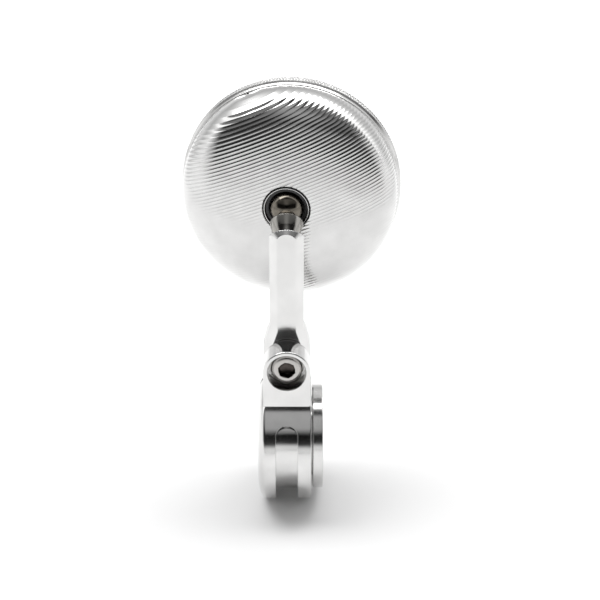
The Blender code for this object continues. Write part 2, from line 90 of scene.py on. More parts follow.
# Clamp
RING_LEFT, RING_RIGHT = span("clamp_body", 0)
RING_RADIUS = -span("clamp_body", 2)[0]
EAR_FRONT, EAR_BACK = -11.0, 15.7
EAR_HALF = span("clamp_body", 2)[1] - BOLT_Z
RING_BORE = 13.2
LEFT_ROUND, LEFT_REACH = 2.6, 6.2          # rounding of the left edge, along and across the bar
GROOVE_WIDTH, GROOVE_FLOOR, GROOVE_TOP = 7.0, 17.1, 10.3
CUT_RADIUS = 23            # reach of a cutter that starts outside the ring
SLOT_FRONT, SLOT_BACK, SLOT_FLOOR = -2.9, 8.1, 21.4
COUNTERBORE, COUNTERBORE_FLOOR = 6.1, -4.6
BOLT_HOLE = 3.3
INSERT_HOLE = 4.35
SLIT = 1.6

# Sleeve
FLANGE_RADIUS = span("reducing_sleeve", 2)[1]
FLANGE_LEFT, FLANGE_RIGHT = 8.1, span("reducing_sleeve", 0)[1]
SLEEVE_LEFT = span("reducing_sleeve", 0)[0]
SLEEVE_RADIUS, BAR_BORE = 12.9, 11.1
SLEEVE_SLIT_TURN = radians(25)

# Pinch bolt
WASHER_BORE, WASHER_RADIUS, WASHER_THICK = 3.3, 5.6, 0.6
FRICTION_BORE, FRICTION_RADIUS = 4.5, 6.9
HEAD_RADIUS, HEAD_HEIGHT = 5.0, 3.7
SHANK_RADIUS = 2.95
HEX_ACROSS, HEX_DEPTH = 5.0, 2.6
SCREW_TOP = COUNTERBORE_FLOOR - WASHER_THICK - 0.2 - HEAD_HEIGHT

# Arm
ARM_FRONT, ARM_BACK = span("arm", 1)
ARM_HALF, ARM_TOP, ARM_CORNER = 5.35, 73.7, 2.4
FLARE_TOP, FLARE_FOOT = 39.9, 33.4
EYE_BORE, BUSH_RADIUS, BUSH_BORE = 4.45, 4.2, 3.25
CROWN_Z, CROWN_RADIUS, CROWN_SLOPE = 69.5, 3.41, 0.967     # cone left standing at the arm's top

# Ball stud
BALL_RADIUS = 5.6
COLLAR_RADIUS, COLLAR_NEAR, COLLAR_FAR, COLLAR_TAPER = 5.2, 10.1, 6.4, 0.8
CONE_FOOT = 2.85
NECK_RADIUS = 3.0
STUD_END, STUD_DEPTH = 2.2, 1.9
SEAT = 13.51

# Mirror head, heights measured from the ball's centre
DOME_RADIUS, DOME_DEPTH, DOME_POWER = 34.6, 16.0, 2.5
HOLE_RADIUS, HOLE_HEIGHT = 7.45, -2.0
LIP_BORE, LIP_RADIUS, LIP_HEIGHT = 6.8, 7.05, -1.7
WALL = 2.2
SOCKET_RADIUS, BOSS_RADIUS, BOSS_TOP = 8.6, 12.2, 9.0
JOINT_HEIGHT = 16.2
SPIGOT_RADIUS, SPIGOT_BORE, SPIGOT_TOP = 32.05, 30.6, 20.3
LEDGE_HEIGHT = 17.2
GLASS_RADIUS, GLASS_BACK = 30.3, 18.9
BEZEL_RADIUS, BEZEL_TOP, BEZEL_LIP, BEZEL_STEP = 35.5, 22.2, 29.4, 17.6
DOME_BASE = HOLE_HEIGHT + DOME_DEPTH * (1 - (HOLE_RADIUS / DOME_RADIUS) ** DOME_POWER) ** (1 / DOME_POWER)

# Surface patterns
SCALLOP_PITCH, SCALLOP_DEPTH, SCALLOP_RISE = 1.07, 0.08, radians(22.5)
SCALLOP_ROWS = 6           # mesh rows in one scallop
KNURLS, KNURL_DEPTH, KNURL_PITCH = 216, 0.20, 1.0


# ---------------------------------------------------------------- mesh helpers

def smooth(item, sharp=28):
    """Smooth shading with an edge kept sharp wherever two faces meet at more than an angle."""
    mesh = item.data
    mesh.polygons.foreach_set("use_smooth", [True] * len(mesh.polygons))
    mesh.set_sharp_from_angle(angle=radians(sharp))
    return item


def solid(name, points, faces, matrix):
    mesh = bpy.data.meshes.new(name)
    mesh.from_pydata([Vector(p) * MM for p in points], [], faces)
    mesh.transform(matrix)
    mesh.update()
    item = bpy.data.objects.new(name, mesh)
    bpy.context.scene.collection.objects.link(item)
    return smooth(item)


def turned(name, profile, matrix, segments=MEDIUM, ring=False, relief=None):
    """Turn (radius, height) points, listed down the outer side; a ring's profile closes on itself.

    relief gives the radius to take off at an angle and a height.
    """
    points, rows, faces = [], [], []
    for radius, height in profile:
        around = 1 if radius == 0 else segments
        rows.append(list(range(len(points), len(points) + around)))
        for i in range(around):
            turn = 2 * pi * i / segments
            r = radius - (relief(radius, height, turn) if relief else 0)
            points.append((r * cos(turn), r * sin(turn), height))
    pairs = list(zip(rows, rows[1:])) + ([(rows[-1], rows[0])] if ring else [])
    for upper, lower in pairs:
        for i in range(segments):
            j = (i + 1) % segments
            if len(upper) == 1:
                faces.append((upper[0], lower[i], lower[j]))
            elif len(lower) == 1:
                faces.append((upper[i], lower[0], upper[j]))
            else:
                faces.append((upper[i], lower[i], lower[j], upper[j]))
    return solid(name, points, faces, matrix)


def rod(name, radius, low, high, matrix, segments=MEDIUM):
    return turned(name, [(0, high), (radius, high), (radius, low), (0, low)], matrix, segments)


def tube(name, inner, outer, low, high, matrix, edge=0.1):
    profile = [(outer - edge, high), (outer, high - edge), (outer, low + edge), (outer - edge, low),
               (inner + edge, low), (inner, low + edge), (inner, high - edge), (inner + edge, high)]
    return turned(name, profile, matrix, ring=True)


def prism(name, outline, low, high, matrix):
    """An anticlockwise outline of (x, y) points made solid from height low to high."""
    count = len(outline)
    points = [(x, y, low) for x, y in outline] + [(x, y, high) for x, y in outline]
    sides = [(i, (i + 1) % count, count + (i + 1) % count, count + i) for i in range(count)]
    faces = [tuple(reversed(range(count))), tuple(range(count, 2 * count))] + sides
    return solid(name, points, faces, matrix)


def block(name, low, high, matrix=Matrix.Identity(4)):
    (x0, y0, z0), (x1, y1, z1) = low, high
    return prism(name, [(x0, y0), (x1, y0), (x1, y1), (x0, y1)], z0, z1, matrix)


def arc(centre, radius, start, end, steps):
    """Points on an arc, angles in degrees."""
    turns = [radians(start + (end - start) * i / steps) for i in range(steps + 1)]
    return [(centre[0] + radius * cos(t), centre[1] + radius * sin(t)) for t in turns]


def bake_modifiers(item):
    depsgraph = bpy.context.evaluated_depsgraph_get()
    mesh = bpy.data.meshes.new_from_object(item.evaluated_get(depsgraph))
    bm = bmesh.new()
    bm.from_mesh(mesh)
    bmesh.ops.remove_doubles(bm, verts=bm.verts, dist=WELD)
    bmesh.ops.dissolve_degenerate(bm, dist=WELD, edges=bm.edges)
    bm.to_mesh(mesh)
    bm.free()
    item.modifiers.clear()
    item.data = mesh
    return item


def carve(item, *tools, operation="DIFFERENCE"):
    """Cut the tools out of a solid, or join them to it, and drop the tools."""
    for tool in tools:
        step = item.modifiers.new(tool.name, "BOOLEAN")
        step.operation = operation
        step.object = tool
        step.solver = "EXACT"
    bake_modifiers(item)
    for tool in tools:
        bpy.data.objects.remove(tool)
    return smooth(item)


def rounded(item, width, angle=50, segments=3):
    step = item.modifiers.new("edges", "BEVEL")
    step.width = width * MM
    step.segments = segments
    step.limit_method = "ANGLE"
    step.angle_limit = radians(angle)
    return bake_modifiers(item)


def even_normals(item):
    """Flat faces keep flat shading beside the curved ones."""
    step = item.modifiers.new("normals", "WEIGHTED_NORMAL")
    step.keep_sharp = True
    return item


# ---------------------------------------------------------------- clamp

def make_clamp():
    """Split ring with clevis ears, a round-ended groove, a slot for the arm and a counterbore."""
    left = [(RING_RADIUS - LEFT_REACH + LEFT_REACH * cos(radians(a)),
             RING_LEFT + LEFT_ROUND * (1 - sin(radians(a)))) for a in range(0, 91, 5)]
    profile = [(RING_RADIUS - 0.5, RING_RIGHT), (RING_RADIUS - 0.15, RING_RIGHT - 0.15),
               (RING_RADIUS, RING_RIGHT - 0.5)]
    profile += left + [(RING_BORE + 0.4, RING_LEFT), (RING_BORE, RING_LEFT + 0.4),
                       (RING_BORE, RING_RIGHT - 0.3), (RING_BORE + 0.3, RING_RIGHT)]
    body = turned("clamp", profile, ALONG_X, FINE, ring=True)

    outline = [(-EAR_HALF, 12), (EAR_HALF, 12)] + arc((0, BOLT_Z), EAR_HALF, 0, 180, 72)
    ears = prism("ears", outline, -EAR_BACK, -EAR_FRONT, Matrix.Rotation(pi / 2, 4, "X"))
    rounded(ears, 0.55, angle=60, segments=4)
    carve(ears, rod("ear_hollow", RING_BORE + 1.5, -12, 12, ALONG_X, FINE))
    carve(body, ears, operation="UNION")

    middle = (ARM_FRONT + ARM_BACK) / 2
    climb = asin(GROOVE_TOP / RING_RADIUS)
    sector = [(0, 0)] + arc((0, 0), CUT_RADIUS, 180 - degrees(climb), 360 + degrees(climb), 120)
    groove = prism("groove", sector, -GROOVE_WIDTH / 2, GROOVE_WIDTH / 2, SIDE_VIEW)
    ends = [rod(f"groove_end_{i}", GROOVE_WIDTH / 2, 5, CUT_RADIUS, Matrix.Rotation(turn, 4, "X"))
            for i, turn in enumerate((pi / 2 - climb, climb - pi / 2))]
    carve(groove, *ends, operation="UNION")
    carve(groove, rod("groove_core", GROOVE_FLOOR, -5, 5, ALONG_X, FINE))
    mouth = [(0, 18), (INSERT_HOLE, 18), (INSERT_HOLE, 5), (BOLT_HOLE, 5), (BOLT_HOLE, COUNTERBORE_FLOOR),
             (COUNTERBORE, COUNTERBORE_FLOOR), (COUNTERBORE, EAR_FRONT + 0.15),
             (COUNTERBORE + 0.6, EAR_FRONT - 0.45), (0, EAR_FRONT - 0.45)]
    carve(body, turned("bolt_bore", mouth, BOLT),
          block("arm_slot", (-12, SLOT_FRONT, SLOT_FLOOR), (12, SLOT_BACK, 40)),
          block("ring_slit", (-12, middle - SLIT / 2, 5), (12, middle + SLIT / 2, 30)), groove)
    return even_normals(body)


def make_sleeve():
    """Flanged sleeve with broken edges and a slit underneath."""
    edge = 0.4
    profile = [(FLANGE_RADIUS - edge, FLANGE_RIGHT), (FLANGE_RADIUS - 0.12, FLANGE_RIGHT - 0.12),
               (FLANGE_RADIUS, FLANGE_RIGHT - edge),
               (FLANGE_RADIUS, FLANGE_LEFT + edge), (FLANGE_RADIUS - edge, FLANGE_LEFT),
               (SLEEVE_RADIUS, FLANGE_LEFT), (SLEEVE_RADIUS, SLEEVE_LEFT), (BAR_BORE, SLEEVE_LEFT),
               (BAR_BORE, FLANGE_RIGHT - edge), (BAR_BORE + edge, FLANGE_RIGHT)]
    sleeve = turned("sleeve", profile, ALONG_X, FINE, ring=True)
    slit = block("sleeve_slit", (-12, -SLIT / 2, -20), (14, SLIT / 2, -9),
                 Matrix.Rotation(SLEEVE_SLIT_TURN, 4, "X"))
    return even_normals(carve(sleeve, slit))


def make_cap_screw():
    """Low socket-head cap screw with a rounded head, a chamfered hexagon and a turned thread."""
    top, low = SCREW_TOP, SCREW_TOP + HEAD_HEIGHT
    crown = [(HEAD_RADIUS - 1.9 + 1.9 * cos(radians(a)), top + 1.3 - 1.3 * sin(radians(a)))
             for a in range(0, 91, 9)]
    thread = []
    for i in range(18):
        thread += [(SHANK_RADIUS, 14.2 - i), (SHANK_RADIUS - 0.45, 13.7 - i)]
    profile = [(0, 14.9), (SHANK_RADIUS - 0.5, 14.9), (SHANK_RADIUS, 14.4)] + thread
    profile += [(SHANK_RADIUS, low), (HEAD_RADIUS - 0.15, low), (HEAD_RADIUS, low - 0.15)]
    profile += crown + [(0, top)]
    screw = turned("cap_screw", profile, BOLT)
    reach = HEX_ACROSS / sqrt(3)
    corners = [(reach * cos(radians(a)), reach * sin(radians(a))) for a in range(18, 378, 60)]
    socket = prism("hex_socket", corners, top - 1, top + HEX_DEPTH, BOLT)
    half = HEX_ACROSS / 2
    point = [(0, top + HEX_DEPTH + 1.7), (half, top + HEX_DEPTH + 0.2), (half, top + 2), (0, top + 2)]
    drilled = turned("drill_point", point, BOLT)
    mouth = [(0, top + 0.3), (half - 0.1, top + 0.3), (half + 0.4, top - 0.2), (0, top - 0.2)]
    lead = turned("socket_lead", mouth, BOLT)
    return even_normals(carve(screw, socket, drilled, lead))


# ---------------------------------------------------------------- arm and stud

def make_arm():
    """Square bar with flat corners, an eye round the bolt and a milled seat for the stud."""
    foot, flare, top = FLARE_FOOT - BOLT_Z, FLARE_TOP - BOLT_Z, ARM_TOP - BOLT_Z
    outline = arc((0, 0), EAR_HALF, 180, 360, 60)
    outline += [(EAR_HALF, foot), (ARM_HALF, flare), (ARM_HALF, top + 4)]
    outline += [(-x, z) for x, z in reversed(outline[-3:])]
    stand = Matrix.Translation((0, 0, BOLT_Z * MM)) @ Matrix.Rotation(pi / 2, 4, "X")
    arm = prism("swing_arm", outline, -ARM_BACK, -ARM_FRONT, stand)
    rounded(arm, ARM_CORNER, angle=60, segments=1)
    wide = ARM_HALF + 0.85
    pocket = prism("stud_seat", [(-wide, -14), (wide, -14)] + arc((0, 0), wide, 0, 180, 40), -SEAT, 2, STUD)
    hole = rod("stud_hole", STUD_END + 0.3, -SEAT - STUD_DEPTH - 0.3, 0, STUD)
    crown = block("crown", (-12, -12, CROWN_Z), (12, 14, CROWN_Z + 12))
    reach = 9
    cone = turned("crown_cone", [(0, reach), (CROWN_RADIUS + CROWN_SLOPE * reach, reach),
                                 (CROWN_RADIUS - CROWN_SLOPE * 2, -2), (0, -2)],
                  Matrix.Translation((0, ARM_FRONT * MM, CROWN_Z * MM)) @ ALONG_Y, FINE)
    carve(crown, cone)
    carve(arm, rod("eye_bore", EYE_BORE, -14, 14, BOLT), crown, pocket, hole)
    return even_normals(arm)


def make_stud():
    """Ball, tapered collar with broken edges and a conical foot, in one piece."""
    meet = -sqrt(BALL_RADIUS ** 2 - NECK_RADIUS ** 2)
    limit = 90 + int(asin(-meet / BALL_RADIUS) * 180 / pi)
    ball = [(BALL_RADIUS * sin(radians(a)), BALL_RADIUS * cos(radians(a))) for a in range(0, limit, 3)]
    narrow = COLLAR_RADIUS - COLLAR_TAPER
    profile = ball + [(NECK_RADIUS, meet), (NECK_RADIUS, -COLLAR_FAR + 0.3),
                      (COLLAR_RADIUS - 0.4, -COLLAR_FAR), (COLLAR_RADIUS - 0.1, -COLLAR_FAR - 0.1),
                      (COLLAR_RADIUS, -COLLAR_FAR - 0.4), (narrow, -COLLAR_NEAR + 0.1),
                      (narrow - 0.08, -COLLAR_NEAR),
                      (CONE_FOOT, -SEAT + 0.2), (STUD_END, -SEAT + 0.2), (STUD_END, -SEAT - STUD_DEPTH),
                      (0, -SEAT - STUD_DEPTH)]
    return turned("stud", profile, STUD, 128)


# ---------------------------------------------------------------- mirror head

def dome_height(radius):
    rest = max(0.0, 1 - (radius / DOME_RADIUS) ** DOME_POWER)
    return DOME_BASE - DOME_DEPTH * rest ** (1 / DOME_POWER)


def dome_normal(radius):
    """Outward slope of the dome's skin as (radial, along the axis)."""
    step = 0.02
    near, far = max(0.0, radius - step), min(DOME_RADIUS, radius + step)
    climb = (dome_height(far) - dome_height(near)) / (far - near)
    length = sqrt(1 + climb * climb)
    return climb / length, -1 / length


def dome_row(across, share):
    """One row of the dome's skin, along the cutter's path, from rim to rim."""
    columns, wall = 84, (15.8, 14.8)
    reach = sqrt(DOME_RADIUS ** 2 - across ** 2)
    sink = SCALLOP_DEPTH * (1 - (2 * share - 1) ** 2)
    row = []
    for i in range(columns + 1):
        along = reach * sin(pi / 2 * (2 * i / columns - 1))
        radius = min(DOME_RADIUS, sqrt(along ** 2 + across ** 2))
        out, up = dome_normal(min(radius, DOME_RADIUS - 0.0005))
        scale = 1 - out * sink / radius if radius else 1
        row.append((along * scale, across * scale, dome_height(radius) - up * sink))
    start, end = row[0], row[-1]
    trim = 1 - 0.4 / DOME_RADIUS
    foot = [(start[0] * trim, start[1] * trim, JOINT_HEIGHT)] + [(start[0], start[1], h) for h in wall]
    head = [(end[0], end[1], h) for h in reversed(wall)] + [(end[0] * trim, end[1] * trim, JOINT_HEIGHT)]
    return foot + row + head


def make_dome():
    """Domed shell whose skin is left in shallow parallel scallops by a round-nosed cutter."""
    count = int(DOME_RADIUS / SCALLOP_PITCH * SCALLOP_ROWS)
    grid = []
    for k in range(-count, count + 1):
        share = k / SCALLOP_ROWS - floor(k / SCALLOP_ROWS)
        grid.append(dome_row(k * SCALLOP_PITCH / SCALLOP_ROWS, share))
    width = len(grid[0])
    points, faces = [], []
    for row in grid:
        for along, across, height in row:        # the head's own second axis points down
            x = along * cos(SCALLOP_RISE) - across * sin(SCALLOP_RISE)
            z = along * sin(SCALLOP_RISE) + across * cos(SCALLOP_RISE)
            points.append((x, -z, height))
    for k in range(len(grid) - 1):
        for i in range(width - 1):
            a = k * width + i
            faces.append((a, a + 1, a + width + 1, a + width))
    last = (len(grid) - 1) * width
    faces.append(tuple(range(width - 1, -1, -1)))
    faces.append(tuple(range(last, last + width)))
    right = [k * width + width - 1 for k in range(len(grid))]
    left = [k * width for k in range(len(grid) - 1, -1, -1)]
    faces.append(tuple(right + left))
    dome = solid("dome", points, faces, HEAD)

    inside = [(r - WALL, dome_height(r - WALL) + WALL + 0.35) for r in (19.0, 23.5, 27.5, 30.6, 32.4, 33.3)]
    hollow = [(28.4, JOINT_HEIGHT + 5), (28.4, LEDGE_HEIGHT - 1.2), (inside[-1][0], LEDGE_HEIGHT - 3)]
    hollow += list(reversed(inside))
    hollow += [(BOSS_RADIUS, dome_height(BOSS_RADIUS) + WALL + 0.3), (BOSS_RADIUS, BOSS_TOP),
               (SOCKET_RADIUS, BOSS_TOP), (SOCKET_RADIUS, -0.7), (HOLE_RADIUS, -0.7),
               (HOLE_RADIUS, HOLE_HEIGHT + 0.3), (HOLE_RADIUS + 0.35, HOLE_HEIGHT - 0.1),
               (HOLE_RADIUS + 0.35, HOLE_HEIGHT - 3), (0, HOLE_HEIGHT - 3)]
    hollow = [(0, JOINT_HEIGHT + 5)] + hollow
    carve(dome, turned("dome_hollow", hollow, HEAD, MEDIUM))
    return smooth(dome, sharp=9)


def knurl(radius, height, turn):
    """Depth taken off the bezel's outer skin by the crossed grooves of a diamond knurl."""
    low, high = BEZEL_STEP + 0.7, BEZEL_TOP - 1.0
    if radius < BEZEL_RADIUS - 0.01 or not low < height < high:
        return 0.0
    waves = [abs(((KNURLS * turn / (2 * pi) + side * height / KNURL_PITCH) % 1) * 2 - 1)
             for side in (-1, 1)]
    return KNURL_DEPTH * max(waves)


def make_bezel():
    """Bezel ring: a smooth lip beside the dome, a groove, then a diamond-knurled band."""
    steps = 22
    start, length = BEZEL_TOP - 0.9, BEZEL_TOP - BEZEL_STEP - 1.5
    band = [(BEZEL_RADIUS, start - length * i / steps) for i in range(steps + 1)]
    profile = [(BEZEL_RADIUS - 1.6, BEZEL_TOP), (BEZEL_RADIUS - 0.9, BEZEL_TOP - 0.1),
               (BEZEL_RADIUS - 0.35, BEZEL_TOP - 0.4)] + band
    profile += [(BEZEL_RADIUS - 0.35, BEZEL_STEP + 0.25), (BEZEL_RADIUS - 0.6, BEZEL_STEP),
                (BEZEL_RADIUS - 0.62, JOINT_HEIGHT + 0.6), (BEZEL_RADIUS - 0.8, JOINT_HEIGHT + 0.28),
                (BEZEL_RADIUS - 1.1, JOINT_HEIGHT + 0.15), (SPIGOT_RADIUS + 0.3, JOINT_HEIGHT + 0.15),
                (SPIGOT_RADIUS + 0.3, SPIGOT_TOP + 0.7), (30.5, SPIGOT_TOP + 0.7), (30.5, BEZEL_TOP - 0.75),
                (BEZEL_LIP, BEZEL_TOP - 0.75), (BEZEL_LIP, BEZEL_TOP - 0.3),
                (BEZEL_LIP + 0.25, BEZEL_TOP - 0.08), (BEZEL_LIP + 0.6, BEZEL_TOP)]
    return turned("bezel_ring", profile, HEAD, KNURLS * 6, ring=True, relief=knurl)


def make_spigot():
    """The housing's threaded spigot and the ledge under the glass, hidden by the bezel."""
    profile = [(SPIGOT_BORE, SPIGOT_TOP)]
    for i in range(6):
        crest = SPIGOT_TOP - 0.3 - 0.6 * i
        profile += [(SPIGOT_RADIUS, crest), (SPIGOT_RADIUS - 0.25, crest - 0.3)]
    profile += [(SPIGOT_RADIUS, JOINT_HEIGHT + 0.02), (28.5, JOINT_HEIGHT + 0.02), (28.5, LEDGE_HEIGHT),
                (SPIGOT_BORE, LEDGE_HEIGHT)]
    return turned("dome_spigot", profile, HEAD, FINE, ring=True)


def make_socket_ring():
    """Dark ring in the dome's hole, open to the ball."""
    hollow = BALL_RADIUS + 0.15
    mouth = [(sqrt(hollow ** 2 - h ** 2), h) for h in (-1.0, -0.6, -0.2, 0.2, 0.6)]
    profile = [(8.35, 0.6), (8.35, -0.5), (7.2, -0.5), (7.2, LIP_HEIGHT + 0.1), (7.1, LIP_HEIGHT),
               (LIP_BORE, LIP_HEIGHT), (6.7, LIP_HEIGHT + 0.1), (6.5, -1.0)] + mouth
    return turned("socket_ring", profile, HEAD, FINE, ring=True)


def make_glass():
    """Convex glass with a ground edge."""
    rise = [(GLASS_RADIUS * k / 24, GLASS_BACK + 1.6 + 0.38 * (1 - (k / 24) ** 2)) for k in range(24)]
    profile = rise + [(GLASS_RADIUS - 0.15, GLASS_BACK + 1.6), (GLASS_RADIUS, GLASS_BACK + 1.45),
                      (GLASS_RADIUS, GLASS_BACK), (0, GLASS_BACK)]
    return turned("convex_glass", profile, HEAD, FINE)


# ---------------------------------------------------------------- materials

def add(tree, kind, inputs=None, **settings):
    made = tree.nodes.new("ShaderNode" + kind)
    for key, value in settings.items():
        setattr(made, key, value)
    for key, value in (inputs or {}).items():
        if isinstance(value, bpy.types.NodeSocket):
            tree.links.new(value, made.inputs[key])
        else:
            made.inputs[key].default_value = value
    return made


def start_material(name):
    made = bpy.data.materials.new(name)
    made.use_nodes = True
    return made, made.node_tree, made.node_tree.nodes["Principled BSDF"]


def local_coordinates(tree, matrix, scale=1 / MM):
    """Coordinates in a piece's own frame, in millimetres."""
    inverse = matrix.inverted()
    place = add(tree, "TexCoord")
    return add(tree, "Mapping", {"Vector": place.outputs["Object"], "Location": inverse.translation * scale,
                                 "Rotation": inverse.to_euler("XYZ"), "Scale": (scale,) * 3}).outputs[0]


def turning_radius(tree, own):
    """Distance from a piece's own axis."""
    parts = add(tree, "SeparateXYZ", {0: own})
    flat = add(tree, "CombineXYZ", {0: parts.outputs[0], 1: parts.outputs[1]})
    return add(tree, "VectorMath", {0: flat.outputs[0]}, operation="LENGTH").outputs["Value"]


def turning_coordinates(tree, own):
    """(height, radius) of a turned piece, so that a noise in them runs in rings."""
    height = add(tree, "SeparateXYZ", {0: own}).outputs[2]
    return add(tree, "CombineXYZ", {0: height, 1: turning_radius(tree, own)}).outputs[0]


def shade(tree, low, high, value):
    """Blend between two colours by a noise."""
    ramp = add(tree, "ValToRGB", {"Fac": value})
    ramp.color_ramp.elements[0].position, ramp.color_ramp.elements[1].position = 0.3, 0.7
    ramp.color_ramp.elements[0].color = (*low, 1)
    ramp.color_ramp.elements[1].color = (*high, 1)
    return ramp.outputs[0]


def spread(tree, value, low, high):
    return add(tree, "MapRange", {"Value": value, "From Min": 0.3, "From Max": 0.7, "To Min": low,
                                  "To Max": high}).outputs[0]


def metal(name, colour, roughness, matrix, turned_marks=True, grain=(1, 1, 1), mark=0.004, edge=0.25):
    """Bare or anodised metal: cutter marks, fine pits, smudges in the gloss and softened edges."""
    made, tree, shader = start_material(name)
    own = local_coordinates(tree, matrix)
    lay = turning_coordinates(tree, own) if turned_marks else add(
        tree, "Mapping", {"Vector": own, "Scale": grain}).outputs[0]
    marks = add(tree, "TexNoise", {"Vector": lay, "Scale": 7.0, "Detail": 5.0, "Roughness": 0.7})
    pits = add(tree, "TexNoise", {"Vector": own, "Scale": 9.0, "Detail": 3.0})
    smudge = add(tree, "TexNoise", {"Vector": own, "Scale": 0.16, "Detail": 4.0})
    dull = tuple(c * 0.9 for c in colour)
    tree.links.new(shade(tree, dull, colour, smudge.outputs[0]), shader.inputs["Base Color"])
    mixed = add(tree, "Math", {0: marks.outputs[0], 1: smudge.outputs[0]}, operation="ADD")
    half = add(tree, "Math", {0: mixed.outputs[0], 1: 0.5}, operation="MULTIPLY")
    tree.links.new(spread(tree, half.outputs[0], roughness * 0.75, roughness * 1.3),
                   shader.inputs["Roughness"])
    soft = add(tree, "Bevel", {"Radius": edge * MM}, samples=6)
    first = add(tree, "Bump", {"Height": marks.outputs[0], "Distance": mark * MM, "Strength": 1.0,
                               "Normal": soft.outputs[0]})
    second = add(tree, "Bump", {"Height": pits.outputs[0], "Distance": mark * 0.25 * MM, "Strength": 1.0,
                                "Normal": first.outputs[0]})
    tree.links.new(second.outputs[0], shader.inputs["Normal"])
    shader.inputs["Metallic"].default_value = 1.0
    return made


def painted_recess_shade(made, matrix, low, high, reach, colour):
    """Painted shade: darkens a piece's colour between two heights and within a radius of its own axis,
    where the piece sits in a recess.
    """
    tree = made.node_tree
    shader = tree.nodes["Principled BSDF"]
    unshaded_colour = shader.inputs["Base Color"].links[0].from_socket
    own = local_coordinates(tree, matrix)
    height = add(tree, "SeparateXYZ", {0: own}).outputs[2]
    above = add(tree, "MapRange", {"Value": height, "From Min": low - 0.2, "From Max": low + 0.2})
    below = add(tree, "MapRange", {"Value": height, "From Min": high + 0.1, "From Max": high - 0.1})
    inside = add(tree, "MapRange", {"Value": turning_radius(tree, own), "From Min": reach + 0.05,
                                    "From Max": reach - 0.05})
    shade_mask = add(tree, "Math", {0: above.outputs[0], 1: below.outputs[0]}, operation="MULTIPLY")
    shade_mask = add(tree, "Math", {0: shade_mask.outputs[0], 1: inside.outputs[0]}, operation="MULTIPLY")
    # painted shade: a dark colour, varied a little by noise, mixed in by the mask
    shade_variation = add(tree, "TexNoise", {"Vector": own, "Scale": 0.6, "Detail": 3.0})
    dark = shade(tree, colour, tuple(1.5 * c for c in colour), shade_variation.outputs[0])
    mixed = add(tree, "MixRGB", {"Fac": shade_mask.outputs[0], "Color1": unshaded_colour, "Color2": dark})
    tree.links.new(mixed.outputs[0], shader.inputs["Base Color"])
    return made


def moulded(name, colour, roughness, scale=5.0, depth=0.01, worn=1.35):
    """Plastic or rubber with a fine moulded texture and paler, drier patches."""
    made, tree, shader = start_material(name)
    own = local_coordinates(tree, Matrix.Identity(4))
    patch = add(tree, "TexNoise", {"Vector": own, "Scale": 0.35, "Detail": 4.0})
    fine = add(tree, "TexNoise", {"Vector": own, "Scale": scale, "Detail": 4.0, "Roughness": 0.6})
    pale = tuple(min(1.0, c * worn + 0.004) for c in colour)
    tree.links.new(shade(tree, colour, pale, patch.outputs[0]), shader.inputs["Base Color"])
    tree.links.new(spread(tree, patch.outputs[0], roughness * 0.85, min(1.0, roughness * 1.15)),
                   shader.inputs["Roughness"])
    bump = add(tree, "Bump", {"Height": fine.outputs[0], "Distance": depth * MM})
    tree.links.new(bump.outputs[0], shader.inputs["Normal"])
    return made


def silvered(name):
    """Mirror glass: a silvered back under a clear, faintly dusty front."""
    made, tree, shader = start_material(name)
    own = local_coordinates(tree, HEAD)
    dust = add(tree, "TexNoise", {"Vector": own, "Scale": 0.3, "Detail": 6.0, "Roughness": 0.7})
    tree.links.new(shade(tree, (0.86, 0.885, 0.89), (0.92, 0.94, 0.945), dust.outputs[0]),
                   shader.inputs["Base Color"])
    tree.links.new(spread(tree, dust.outputs[0], 0.015, 0.05), shader.inputs["Roughness"])
    shader.inputs["Metallic"].default_value = 1.0
    shader.inputs["Coat Weight"].default_value = 0.6
    shader.inputs["Coat Roughness"].default_value = 0.02
    return made


SILVER = (0.738, 0.735, 0.729)


